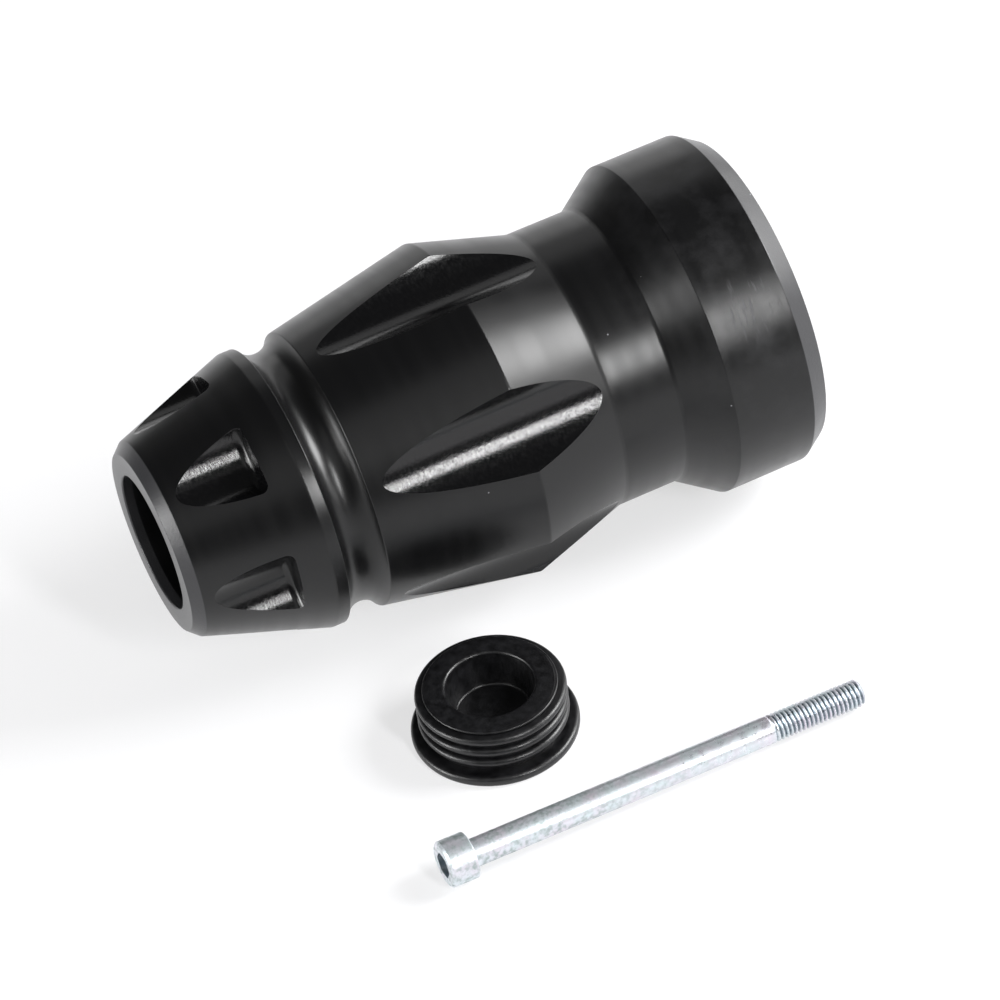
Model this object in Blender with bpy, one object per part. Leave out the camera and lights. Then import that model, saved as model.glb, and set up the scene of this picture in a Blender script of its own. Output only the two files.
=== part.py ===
# Motorcycle crash bar of the slider kind: a turned plastic slider with milled flutes,
# its ribbed rubber end plug and its socket-head bolt, laid out side by side on the floor.
# Metres, +Z up, the floor at Z = 0, the origin under the middle of the three pieces.
#
# Every piece is turned, so each is drawn as an outline of (along, radius) points and spun
# about its own X axis. The slider's X runs from its nose face to its base face, the plug's
# from its flange to its lip, and the bolt's from its head to its tip.

import math

import bmesh
import bpy
from mathutils import Matrix, Vector

# Slider: lengths along the axis, in order from the nose. The front cone takes what is left.
# The nose ends in a short straight shoulder, which its length includes.
BODY_LENGTH = 0.1408
NOSE_LIP_LENGTH = 0.0023
NOSE_LENGTH = 0.0310
SHOULDER_LENGTH = 0.0026
GROOVE_LENGTH = 0.0093
REAR_BAND_LENGTH = 0.0211
WAIST_LENGTH = 0.0143
FLARE_LENGTH = 0.0092
BASE_LENGTH = 0.0176
BASE_CHAMFER_LENGTH = 0.0043

# Slider: its largest diameter, and how far the rest lies below it or below its neighbour.
BODY_DIAMETER = 0.0750
WAIST_DEPTH = 0.0064
FLUTE_OVER_WAIST = 0.0005
CONE_START_UNDER_FLUTE = 0.0006
GROOVE_DEPTH = 0.0028
BASE_CHAMFER_DEPTH = 0.0029

# Flutes along the bulge and pockets in the nose: both are straight cuts along the axis.
FLUTE_COUNT = 6
FLUTE_CUTTER_RADIUS = 0.01125
POCKET_COUNT = 6
POCKET_END = 0.0218
POCKET_DEPTH = 0.0059
POCKET_CUTTER_RADIUS = 0.0089
POCKET_END_ROUNDING = 0.0018

# The slider's mouth, and what is tied to it: the plug's flange, and the nose round that.
MOUTH_DIAMETER = 0.0300
MOUTH_SPARE_DEPTH = 0.0120
FLANGE_OVERLAP = 0.0027
NOSE_FACE_MARGIN = 0.0023
NOSE_LIP_RISE = 0.0021
EDGE_BREAK = 0.0004

# Rubber end plug. On the radius, its core clears the mouth and its soft ribs are squeezed.
PLUG_CLEARANCE = 0.0002
RIB_SQUEEZE = 0.0009
FLANGE_THICKNESS = 0.0024
FLANGE_ROUNDING = 0.0010
RIB_COUNT = 3
RIB_PITCH = 0.0031
RIB_WIDTH = 0.0024
RIB_FOOT_GAP = 0.0012
LIP_ROUNDING = 0.0017
PLUG_WALL = 0.0055
RECESS_EDGE_ROUNDING = 0.0007
RECESS_DEPTH = 0.0080
RECESS_DRAFT = math.radians(9.0)
RECESS_FLOOR_ROUNDING = 0.0006

# Socket-head bolt, M6 by 90 mm. It stands out of the base by its protrusion when fitted.
BOLT_DIAMETER = 0.0060
BOLT_LENGTH = 0.0900
BOLT_PROTRUSION = 0.0220
BOLT_HEAD_DIAMETER = 0.0100
BOLT_HEAD_HEIGHT = 0.0060
BOLT_HEAD_CHAMFER = 0.0005
BOLT_NECK_FILLET = 0.0003
BOLT_TIP_CHAMFER = 0.0006
BOLT_HOLE_CLEARANCE = 0.0003
TOOL_CLEARANCE = 0.0030
SOCKET_WIDTH = 0.0050
SOCKET_DEPTH = 0.0030
SOCKET_POINT_ANGLE = math.radians(118.0)

# Places on the floor, from the slider's nose and from the side of its body.
PLUG_FROM_NOSE = 0.0501
PLUG_FROM_BODY = 0.0165
BOLT_FROM_NOSE = 0.0223
BOLT_FROM_BODY = 0.0513
BOLT_TURN = math.radians(0.9)

# Facets round each turned piece and each cutter, and over each rounding.
BODY_FACETS = 72
PLUG_FACETS = 60
BOLT_FACETS = 36
CUTTER_FACETS = 48
ROUNDING_FACETS = 4
CUT_OVERRUN = 0.0020
SHARP_ANGLE = math.radians(28.0)

BODY_RADIUS = BODY_DIAMETER / 2
WAIST_RADIUS = BODY_RADIUS - WAIST_DEPTH
FLUTE_FLOOR_RADIUS = WAIST_RADIUS + FLUTE_OVER_WAIST
CONE_START_RADIUS = FLUTE_FLOOR_RADIUS - CONE_START_UNDER_FLUTE

MOUTH_RADIUS = MOUTH_DIAMETER / 2
FLANGE_RADIUS = MOUTH_RADIUS + FLANGE_OVERLAP
NOSE_FACE_RADIUS = FLANGE_RADIUS + NOSE_FACE_MARGIN
NOSE_LIP_RADIUS = NOSE_FACE_RADIUS + NOSE_LIP_RISE

# Stations along the slider, counted back from the base so that the cone takes a change.
CHAMFER_START = BODY_LENGTH - BASE_CHAMFER_LENGTH
BASE_START = CHAMFER_START - BASE_LENGTH
FLARE_START = BASE_START - FLARE_LENGTH
WAIST_START = FLARE_START - WAIST_LENGTH
BULGE = WAIST_START - REAR_BAND_LENGTH
SHOULDER_START = NOSE_LENGTH - SHOULDER_LENGTH
CONE_START = NOSE_LENGTH + GROOVE_LENGTH

LIP_CREST = FLANGE_THICKNESS + RIB_FOOT_GAP + (RIB_COUNT - 1) * RIB_PITCH + RIB_WIDTH / 2
PLUG_HEIGHT = LIP_CREST + LIP_ROUNDING
MOUTH_DEPTH = PLUG_HEIGHT - FLANGE_THICKNESS + MOUTH_SPARE_DEPTH
SEAT_DEPTH = BODY_LENGTH + BOLT_PROTRUSION - BOLT_LENGTH


def arc(centre, radius, start, end, facets=ROUNDING_FACETS):
    """Points (along, radius) on an arc from the start angle to the end angle, both included."""
    points = []
    for step in range(facets + 1):
        angle = start + (end - start) * step / facets
        points.append(
            (centre[0] + radius * math.cos(angle), centre[1] + radius * math.sin(angle))
        )
    return points


def nose_taper():
    """The angle of the nose's cone, from its lip to its shoulder."""
    return math.atan2(CONE_START_RADIUS - NOSE_LIP_RADIUS, SHOULDER_START - NOSE_LIP_LENGTH)


def groove():
    """The groove as one arc, from the shoulder's edge down and up to the front cone."""
    radius = (GROOVE_LENGTH**2 / 4 + GROOVE_DEPTH**2) / (2 * GROOVE_DEPTH)
    half = math.asin(GROOVE_LENGTH / 2 / radius)
    centre = (NOSE_LENGTH + GROOVE_LENGTH / 2, CONE_START_RADIUS - GROOVE_DEPTH + radius)
    down = -math.pi / 2
    return arc(centre, radius, down - half, down + half, 2 * ROUNDING_FACETS)


def body_outline():
    """The slider's closed outline: the outside from nose to base, then the bores back."""
    bolt_hole = BOLT_DIAMETER / 2 + BOLT_HOLE_CLEARANCE
    tool_bore = BOLT_HEAD_DIAMETER / 2 + TOOL_CLEARANCE
    outside = [
        (0.0, NOSE_FACE_RADIUS),
        (NOSE_LIP_LENGTH, NOSE_LIP_RADIUS),
        (SHOULDER_START, CONE_START_RADIUS),
        *groove(),
        (BULGE, BODY_RADIUS),
        (WAIST_START, WAIST_RADIUS),
        (FLARE_START, WAIST_RADIUS),
        (BASE_START, BODY_RADIUS),
        (CHAMFER_START, BODY_RADIUS),
        (BODY_LENGTH, BODY_RADIUS - BASE_CHAMFER_DEPTH),
    ]
    inside = [
        (BODY_LENGTH, bolt_hole + EDGE_BREAK),
        (BODY_LENGTH - EDGE_BREAK, bolt_hole),
        (SEAT_DEPTH, bolt_hole),
        (SEAT_DEPTH, tool_bore),
        (MOUTH_DEPTH, tool_bore),
        (MOUTH_DEPTH, MOUTH_RADIUS),
        (EDGE_BREAK, MOUTH_RADIUS),
        (0.0, MOUTH_RADIUS + EDGE_BREAK),
    ]
    return outside + inside


def plug_outline():
    """Half the plug's section, from the centre of its flange face to the centre of its recess."""
    rib_radius = MOUTH_RADIUS + RIB_SQUEEZE
    core_radius = MOUTH_RADIUS - PLUG_CLEARANCE
    recess_radius = core_radius - PLUG_WALL
    recess_floor = PLUG_HEIGHT - RECESS_DEPTH
    floor_radius = recess_radius - RECESS_DEPTH * math.tan(RECESS_DRAFT)
    rim = FLANGE_RADIUS - FLANGE_ROUNDING
    flange_top = FLANGE_THICKNESS - FLANGE_ROUNDING
    recess_edge = (PLUG_HEIGHT - RECESS_EDGE_ROUNDING, recess_radius + RECESS_EDGE_ROUNDING)
    points = [(0.0, 0.0)]
    points += arc((FLANGE_ROUNDING, rim), FLANGE_ROUNDING, math.pi, math.pi / 2)
    points += arc((flange_top, rim), FLANGE_ROUNDING, math.pi / 2, 0.0)
    points.append((FLANGE_THICKNESS, core_radius))
    # Each rib is a low ridge. The last one is the lip, which rounds over to the flat top.
    for rib in range(RIB_COUNT - 1):
        start = LIP_CREST - RIB_WIDTH / 2 - (RIB_COUNT - 1 - rib) * RIB_PITCH
        points.append((start, core_radius))
        points.append((start + RIB_WIDTH / 4, rib_radius))
        points.append((start + RIB_WIDTH * 3 / 4, rib_radius))
        points.append((start + RIB_WIDTH, core_radius))
    points.append((LIP_CREST - RIB_WIDTH / 2, core_radius))
    points.append((LIP_CREST - RIB_WIDTH / 4, rib_radius))
    points += arc((LIP_CREST, rib_radius - LIP_ROUNDING), LIP_ROUNDING, math.pi / 2, 0.0)
    points += arc(recess_edge, RECESS_EDGE_ROUNDING, 0.0, -math.pi / 2)
    points.append((recess_floor + RECESS_FLOOR_ROUNDING, floor_radius))
    points.append((recess_floor, floor_radius - RECESS_FLOOR_ROUNDING))
    points.append((recess_floor, 0.0))
    return points


def bolt_outline():
    """Half the bolt's section, from the centre of its head to the centre of its tip."""
    head = BOLT_HEAD_DIAMETER / 2
    shank = BOLT_DIAMETER / 2
    end = BOLT_HEAD_HEIGHT + BOLT_LENGTH
    return [
        (0.0, 0.0),
        (0.0, head - BOLT_HEAD_CHAMFER),
        (BOLT_HEAD_CHAMFER, head),
        (BOLT_HEAD_HEIGHT, head),
        (BOLT_HEAD_HEIGHT, shank + BOLT_NECK_FILLET),
        (BOLT_HEAD_HEIGHT + BOLT_NECK_FILLET, shank),
        (end - BOLT_TIP_CHAMFER, shank),
        (end, shank - BOLT_TIP_CHAMFER),
        (end, 0.0),
    ]


def material(name, colour, roughness, metallic=0.0):
    """A plain Principled material; the colour is linear RGB."""
    made = bpy.data.materials.new(name)
    made.use_nodes = True
    shader = made.node_tree.nodes["Principled BSDF"]
    shader.inputs["Base Color"].default_value = (*colour, 1.0)
    shader.inputs["Roughness"].default_value = roughness
    shader.inputs["Metallic"].default_value = metallic
    made.diffuse_color = (*colour, 1.0)
    return made


def new_object(name, shape, parent):
    """A mesh object made from a bmesh, with its faces turned outwards."""
    bmesh.ops.recalc_face_normals(shape, faces=shape.faces)
    mesh = bpy.data.meshes.new(name)
    shape.to_mesh(mesh)
    shape.free()
    made = bpy.data.objects.new(name, mesh)
    bpy.context.scene.collection.objects.link(made)
    made.parent = parent
    return made


def spin_outline(shape, outline, facets, closed):
    """Spins an outline of (along, radius) points once about the X axis; returns its corners."""
    points = [shape.verts.new((along, 0.0, radius)) for along, radius in outline]
    count = len(points)
    edges = []
    for index in range(count if closed else count - 1):
        edges.append(shape.edges.new((points[index], points[(index + 1) % count])))
    before = set(shape.verts) - set(points)
    bmesh.ops.spin(
        shape,
        geom=points + edges,
        cent=(0.0, 0.0, 0.0),
        axis=(1.0, 0.0, 0.0),
        angle=2 * math.pi,
        steps=facets,
        use_merge=True,
    )
    return [vertex for vertex in shape.verts if vertex not in before]


def turned(name, outline, facets, closed, parent):
    """A piece whose outline is spun about the X axis."""
    shape = bmesh.new()
    spin_outline(shape, outline, facets, closed)
    bmesh.ops.remove_doubles(shape, verts=shape.verts, dist=1e-7)
    return new_object(name, shape, parent)


def rod_outline(start, end, radius, rounding=0.0):
    """Half the section of a round cutter, with the edge of its far end rounded."""
    points = [(start, 0.0), (start, radius)]
    if rounding > 0:
        points += arc((end - rounding, radius - rounding), rounding, math.pi / 2, 0.0)
    else:
        points.append((end, radius))
    points.append((end, 0.0))
    return points


def rods(name, count, first_angle, distance, outline, parent):
    """Cutters round the axis: parallel rods, each a distance from it, as one object."""
    shape = bmesh.new()
    for index in range(count):
        rod = spin_outline(shape, outline, CUTTER_FACETS, False)
        bmesh.ops.translate(shape, verts=rod, vec=(0.0, 0.0, distance))
        turn = Matrix.Rotation(first_angle + index * 2 * math.pi / count, 3, "X")
        bmesh.ops.rotate(shape, verts=rod, cent=(0.0, 0.0, 0.0), matrix=turn)
    bmesh.ops.remove_doubles(shape, verts=shape.verts, dist=1e-7)
    return as_cutter(new_object(name, shape, parent))


def hexagon(name, width, depth, parent):
    """The wrench socket's cutter: a hexagonal prism with a drilled point at its floor."""
    shape = bmesh.new()
    corner = width / 2 / math.cos(math.pi / 6)
    point = corner / math.tan(SOCKET_POINT_ANGLE / 2)
    mouth = []
    floor = []
    for step in range(6):
        angle = step * math.pi / 3
        y = corner * math.cos(angle)
        z = corner * math.sin(angle)
        mouth.append(shape.verts.new((-CUT_OVERRUN, y, z)))
        floor.append(shape.verts.new((depth, y, z)))
    tip = shape.verts.new((depth + point, 0.0, 0.0))
    shape.faces.new(mouth)
    for step in range(6):
        after = (step + 1) % 6
        shape.faces.new((mouth[step], mouth[after], floor[after], floor[step]))
        shape.faces.new((floor[step], floor[after], tip))
    return as_cutter(new_object(name, shape, parent))


def as_cutter(tool):
    """Keeps a cutting shape out of the render and draws it as wire."""
    tool.hide_render = True
    tool.display_type = "WIRE"
    return tool


def cut(target, tool):
    modifier = target.modifiers.new(tool.name, "BOOLEAN")
    modifier.operation = "DIFFERENCE"
    modifier.solver = "EXACT"
    modifier.object = tool


def finish(piece, surface):
    """Gives a turned piece its material and smooth shading between its sharp edges."""
    piece.data.materials.append(surface)
    piece.data.shade_smooth()
    piece.data.set_sharp_from_angle(angle=SHARP_ANGLE)


def anchor(name, parent=None):
    made = bpy.data.objects.new(name, None)
    made.empty_display_size = 0.01
    bpy.context.scene.collection.objects.link(made)
    made.parent = parent
    return made


def world_points(piece):
    """The corners of the finished mesh, in world space."""
    evaluated = piece.evaluated_get(bpy.context.evaluated_depsgraph_get())
    return [evaluated.matrix_world @ vertex.co for vertex in evaluated.data.vertices]


def set_down(holder, piece):
    """Lowers or lifts a holder until its piece just touches the floor."""
    bpy.context.view_layer.update()
    holder.location.z -= min(point.z for point in world_points(piece))


def flute_half_angle():
    """Half the angle that a flute takes out of the bulge's edge, seen along the axis."""
    distance = FLUTE_FLOOR_RADIUS + FLUTE_CUTTER_RADIUS
    across = distance**2 + BODY_RADIUS**2 - FLUTE_CUTTER_RADIUS**2
    return math.acos(across / (2 * distance * BODY_RADIUS))


def resting_tilt(near, far):
    """The tilt at which two (along, radius) rims of a piece touch the floor together."""
    return math.atan2(near[1] - far[1], far[0] - near[0])


def make_slider(layout):
    holder = anchor("slider_rest", layout)
    body = turned("slider_body", body_outline(), BODY_FACETS, True, holder)
    finish(body, material("black_acetal", (0.018, 0.018, 0.019), 0.42))
    # The flutes start at the groove and run out over the waist, which lies below their floor.
    flutes = rods(
        "flute_cutters",
        FLUTE_COUNT,
        0.0,
        FLUTE_FLOOR_RADIUS + FLUTE_CUTTER_RADIUS,
        rod_outline(CONE_START, FLARE_START, FLUTE_CUTTER_RADIUS),
        holder,
    )
    # The pockets lie between the flutes and stop inside the nose, at a flat wall with a
    # rounded foot.
    nose_radius = NOSE_LIP_RADIUS + (POCKET_END - NOSE_LIP_LENGTH) * math.tan(nose_taper())
    pockets = rods(
        "pocket_cutters",
        POCKET_COUNT,
        math.pi / POCKET_COUNT,
        nose_radius - POCKET_DEPTH + POCKET_CUTTER_RADIUS,
        rod_outline(-CUT_OVERRUN, POCKET_END, POCKET_CUTTER_RADIUS, POCKET_END_ROUNDING),
        holder,
    )
    cut(body, flutes)
    cut(body, pockets)
    # It lies on the two edges of its lowest flute and on the front rim of its base.
    flute_edge = (BULGE, BODY_RADIUS * math.cos(flute_half_angle()))
    holder.rotation_euler.y = resting_tilt(flute_edge, (BASE_START, BODY_RADIUS))
    set_down(holder, body)
    return body


def make_plug(layout):
    holder = anchor("plug_rest", layout)
    plug = turned("end_plug", plug_outline(), PLUG_FACETS, False, holder)
    finish(plug, material("black_rubber", (0.012, 0.012, 0.013), 0.55))
    # It stands on its flange with its recess up.
    holder.location = (PLUG_FROM_NOSE, -(BODY_RADIUS + PLUG_FROM_BODY), 0.0)
    holder.rotation_euler.y = -math.pi / 2
    set_down(holder, plug)
    return plug


def make_bolt(layout):
    holder = anchor("bolt_rest", layout)
    bolt = turned("socket_bolt", bolt_outline(), BOLT_FACETS, False, holder)
    finish(bolt, material("zinc_plated_steel", (0.62, 0.65, 0.68), 0.28, 1.0))
    cut(bolt, hexagon("socket_cutter", SOCKET_WIDTH, SOCKET_DEPTH, holder))
    # It lies on the back rim of its head and on the rim at its tip.
    head_rim = (BOLT_HEAD_HEIGHT, BOLT_HEAD_DIAMETER / 2)
    tip_rim = (BOLT_HEAD_HEIGHT + BOLT_LENGTH - BOLT_TIP_CHAMFER, BOLT_DIAMETER / 2)
    holder.location = (BOLT_FROM_NOSE, -(BODY_RADIUS + BOLT_FROM_BODY), 0.0)
    holder.rotation_euler = (0.0, resting_tilt(head_rim, tip_rim), BOLT_TURN)
    set_down(holder, bolt)
    return bolt


def centre_on_floor(layout, pieces):
    """Moves the layout so that the origin is under the middle of all the pieces."""
    bpy.context.view_layer.update()
    points = [point for piece in pieces for point in world_points(piece)]
    low = Vector((min(p.x for p in points), min(p.y for p in points), 0.0))
    high = Vector((max(p.x for p in points), max(p.y for p in points), 0.0))
    layout.location = -(low + high) / 2


def main():
    for old in list(bpy.data.objects):
        bpy.data.objects.remove(old)
    layout = anchor("layout")
    pieces = [make_slider(layout), make_plug(layout), make_bolt(layout)]
    centre_on_floor(layout, pieces)


main()
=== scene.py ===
import math

import bmesh
import bpy
from mathutils import Matrix, Vector


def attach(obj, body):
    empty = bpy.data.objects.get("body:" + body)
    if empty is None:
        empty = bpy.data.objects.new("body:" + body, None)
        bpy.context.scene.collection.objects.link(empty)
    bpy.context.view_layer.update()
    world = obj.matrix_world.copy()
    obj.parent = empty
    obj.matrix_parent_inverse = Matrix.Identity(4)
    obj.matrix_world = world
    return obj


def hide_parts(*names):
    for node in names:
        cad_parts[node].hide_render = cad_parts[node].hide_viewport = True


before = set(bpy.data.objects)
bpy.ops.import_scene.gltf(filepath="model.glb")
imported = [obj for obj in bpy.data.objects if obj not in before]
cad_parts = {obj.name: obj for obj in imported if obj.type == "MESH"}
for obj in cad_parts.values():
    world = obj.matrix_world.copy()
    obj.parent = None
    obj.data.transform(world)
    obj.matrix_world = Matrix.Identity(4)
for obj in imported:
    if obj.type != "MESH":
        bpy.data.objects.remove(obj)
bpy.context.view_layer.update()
mm = 0.001
weldReach = 0.0001 * mm       # points closer than this are one point


def tell(stage):
    print("crash slider:", stage)


def linearColour(hexValue):
    # sRGB hex, as a paint chart gives it, to the linear RGBA that shaders work in
    text = hexValue.lstrip("#")
    channels = [int(text[start:start + 2], 16) / 255 for start in (0, 2, 4)]
    straight = [c / 12.92 if c <= 0.04045 else ((c + 0.055) / 1.055) ** 2.4 for c in channels]
    return (*straight, 1.0)


def addNode(tree, kind, settings=None, links=None):
    # settings go to the node's own options or to its inputs, links are {input: (node, output)}
    node = tree.nodes.new(kind)
    for name, value in (settings or {}).items():
        if isinstance(name, str) and hasattr(node, name):
            setattr(node, name, value)
        else:
            node.inputs[name].default_value = value
    for name, (source, output) in (links or {}).items():
        tree.links.new(source.outputs[output], node.inputs[name])
    return node


def newMaterial(name):
    made = bpy.data.materials.new(name)
    made.use_nodes = True
    tree = made.node_tree
    return made, tree, tree.nodes["Principled BSDF"]


def placed(millimetres, tiltDeg, turnDeg=0.0):
    # tilted about Y, then turned about Z, then moved to its place
    turn = Matrix.Rotation(math.radians(turnDeg), 4, "Z")
    tilt = Matrix.Rotation(math.radians(tiltDeg), 4, "Y")
    return Matrix.Translation(Vector(millimetres) * mm) @ turn @ tilt


# every piece is round, so its outline is spun about X
def arcPoints(centre, radius, startDeg, endDeg, steps):
    # (along, radius) points of a rounding, both ends included
    points = []
    for step in range(steps + 1):
        angle = math.radians(startDeg + (endDeg - startDeg) * step / steps)
        points.append((centre[0] + radius * math.cos(angle), centre[1] + radius * math.sin(angle)))
    return points


def spunShape(outline, steps, closed):
    shape = bmesh.new()
    corners = [shape.verts.new((along * mm, 0, radius * mm)) for along, radius in outline]
    last = len(corners) if closed else len(corners) - 1
    for index in range(last):
        shape.edges.new((corners[index], corners[(index + 1) % len(corners)]))
    bmesh.ops.spin(
        shape, geom=shape.verts[:] + shape.edges[:], cent=(0, 0, 0), axis=(1, 0, 0),
        angle=2 * math.pi, steps=steps, use_merge=True,
    )
    bmesh.ops.remove_doubles(shape, verts=shape.verts, dist=weldReach)
    bmesh.ops.recalc_face_normals(shape, faces=shape.faces)
    return shape


def ringEdges(shape, along, radius):
    # the ring of edges that one outline point left behind
    reach = 0.002 * mm

    def onRing(vert):
        far = math.hypot(vert.co.y, vert.co.z)
        return abs(vert.co.x - along * mm) < reach and abs(far - radius * mm) < reach
    return [edge for edge in shape.edges if all(onRing(vert) for vert in edge.verts)]


def breakRing(shape, along, radius, width, segments=3):
    edges = ringEdges(shape, along, radius)
    bmesh.ops.bevel(
        shape, geom=edges, offset=width * mm, offset_type="OFFSET", affect="EDGES",
        segments=segments, profile=0.5, material=-1,
    )


def keepMesh(name, shape):
    mesh = bpy.data.meshes.new(name)
    shape.to_mesh(mesh)
    shape.free()
    made = bpy.data.objects.new(name, mesh)
    bpy.context.scene.collection.objects.link(made)
    return made


def carve(target, tool):
    # an exact cut, applied at once, after which the tool goes
    modifier = target.modifiers.new("carve", "BOOLEAN")
    modifier.operation = "DIFFERENCE"
    modifier.solver = "EXACT"
    modifier.material_mode = "TRANSFER"
    modifier.object = tool
    evaluated = target.evaluated_get(bpy.context.evaluated_depsgraph_get())
    target.data = bpy.data.meshes.new_from_object(evaluated)
    target.modifiers.clear()
    bpy.data.objects.remove(tool)


def finishPiece(piece, matrix, node, sharpDeg):
    # the piece's place goes into its mesh, so its object stays at the origin
    piece.data.transform(matrix)
    piece.data.shade_smooth()
    piece.data.set_sharp_from_angle(angle=math.radians(sharpDeg))
    # wide faces keep their own normals, so that a broken edge shines as a thin line
    weighted = piece.modifiers.new("weightedNormals", "WEIGHTED_NORMAL")
    weighted.mode = "FACE_AREA"
    weighted.keep_sharp = True
    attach(piece, "root")
    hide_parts(node)


slider = {                    # mm; each pair is a place along the axis and a radius there
    "place": (-70.564, 28.146, 34.442),   # where the middle of its nose lies
    "tiltDeg": -1.4678,       # it lies a little nose down
    "noseFace": (0.0, 20.0),
    "noseLip": (2.3, 22.1),
    "shoulderStart": (28.4, 31.0),
    "shoulderEdge": (31.0, 31.0),
    "grooveDepth": 2.8,
    "grooveSteps": 32,
    "coneStart": (40.3, 31.0),
    "bulge": (74.3, 37.5),
    "waistStart": (95.4, 31.1),
    "flareStart": (109.7, 31.1),
    "baseStart": (118.9, 37.5),
    "chamferStart": (136.5, 37.5),
    "baseEnd": (140.8, 34.6),
    "boltHole": 3.3,
    "toolBore": 8.0,
    "seat": 72.8,
    "mouth": 15.0,
    "mouthDepth": 22.3,
    "spinSteps": 256,
    "fluteFloor": 31.6,
    "fluteRadius": 11.25,
    "fluteCount": 6,          # and as many pockets, half a pitch round
    "pocketStart": -2.0,      # the cutter starts in front of the nose
    "pocketEnd": 21.8,
    "pocketDepth": 5.9,
    "pocketRadius": 8.9,
    "pocketRounding": 1.8,
    "cutterSides": 160,
    "softEdge": 0.3,          # width of the break on the blunt edges round the body
    "innerRounding": 0.6,     # and of the rounding in its hollow corners
    "edgeBreak": 0.15,        # and on the crisp ones
    "boreBreak": 0.4,         # and on the rims of its bores
    "rimBreak": 0.12,         # and on the rims that the milling cutters left
    "mergeWidth": 0.03,       # points closer than this, where a cut ran along an edge, are joined
    "sharpDeg": 30,
}


turnedAcetal = {
    "colour": "#070708",
    "ior": 1.48,
    "roughness": 0.30,
    "roughnessSwing": 0.04,
    "specularLevel": 0.44,    # a cut surface scatters a part of its mirror reflection away
    "ringSpacing": 0.42,      # mm; a finishing cut leaves 0.1, too fine to show, so drawn coarser
    "ringDepth": 0.0012,      # mm
    "bandSpacing": 3.5,       # mm, broad bands where the tool rubbed more or less
    "bandRange": (0.3, 0.7),
    "endGreyAndReflection": "#303032",   # cut across the bar, the plastic tears a little and looks greyer; the grey is also a painted reflection
    "endGrainSize": 0.5,      # mm, the rough grain of the faces and chamfers that were sawn and faced
    "endGrainDepth": 0.030,   # mm
    "endBlend": 0.1,          # mm to each side of an end's first edge
    "dustColour": "#5a5a5e",
    "dustSize": 7.0,          # mm, soft patches of dust, mostly on the base
    "dustEnds": (100.0, 118.0),   # mm from the nose, between which the dust sets in
    "dustRange": (0.45, 0.75),
    "dustAmount": 0.07,
    "scuffColour": "#8c8c90",
    "scuffCentre": (128.0, -29.5, 23.5),   # mm from the nose, where the base was rubbed
    "scuffReach": 8.5,        # mm
    "scuffAmount": 0.5,
    "strokeWidth": 0.9,       # mm between strokes
    "strokeStretch": 0.16,    # round the body, where a stroke is about six times as long as wide
    "strokeRange": (0.55, 0.75),
    "speckSpacing": 8.0,      # mm between pale specks
    "speckRadius": 0.16,      # mm
}


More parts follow.
